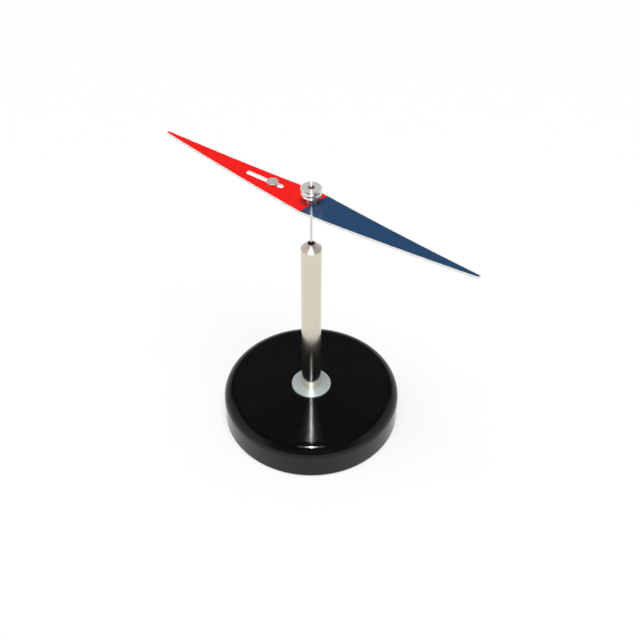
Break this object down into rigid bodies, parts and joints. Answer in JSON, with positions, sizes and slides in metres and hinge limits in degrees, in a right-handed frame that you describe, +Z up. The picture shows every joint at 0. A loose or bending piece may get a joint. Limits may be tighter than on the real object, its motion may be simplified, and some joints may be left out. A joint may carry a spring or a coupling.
{
  "type": "magnetic needle on stand",
  "caption": "Flat diamond-shaped magnetic needle, red and blue, that swings on a pin point above a round weighted foot.",
  "frame": {"origin": "centre of the foot's underside, on the table, straight below the pin's point", "axes": "+Z up along the column and the pin, +X along the needle towards its blue end, +Y across the needle"},
  "size_m": [0.172, 0.09, 0.1445],
  "materials": {
    "felt": "matte",
    "zinc_steel": "satin",
    "black_lacquer": "gloss",
    "nickel": "polished",
    "black_plastic": "gloss",
    "pin_steel": "polished",
    "jewel": "polished",
    "bearing_brass": "satin",
    "turned_nickel": "satin",
    "blade_paint": "gloss",
    "weight_nickel": "matte"
  },
  "bodies": {
    "stand": {"foot_pad": "felt", "column_screw": "zinc_steel", "screw_washer": "zinc_steel", "screw_lock_washer": "zinc_steel", "foot": "black_lacquer", "foot_washer": "zinc_steel", "column": "nickel", "pin_bush": "black_plastic", "pivot_pin": "pin_steel"},
    "bearing": {"bearing_jewel": "jewel"},
    "bearing_ring": {"jewel_holder": "bearing_brass"},
    "needle": {"hub": "turned_nickel", "blade": "blade_paint", "hub_nut": "turned_nickel"},
    "balance_weight": {"weight_stud": "weight_nickel", "weight_spring": "weight_nickel", "weight_nut": "weight_nickel"}
  },
  "joints": [
    {"name": "needle_lift", "type": "slide", "parent": "stand", "child": "bearing", "axis": [0, 0, 1], "range_m": [0, 0.03]},
    {"name": "needle_spin", "type": "hinge", "parent": "bearing", "child": "bearing_ring", "pos_m": [0, 0, 0.1431], "axis": [0, 0, 1], "continuous": true},
    {"name": "needle_dip", "type": "hinge", "parent": "bearing_ring", "child": "needle", "pos_m": [0, 0, 0.1431], "axis": [0, 1, 0], "range_deg": [-4.5, 4.5]},
    {"name": "weight_slide", "type": "slide", "parent": "needle", "child": "balance_weight", "axis": [-0.9984, -0.0541, 0.0164], "range_m": [-0.0046, 0.0131]}
  ]
}
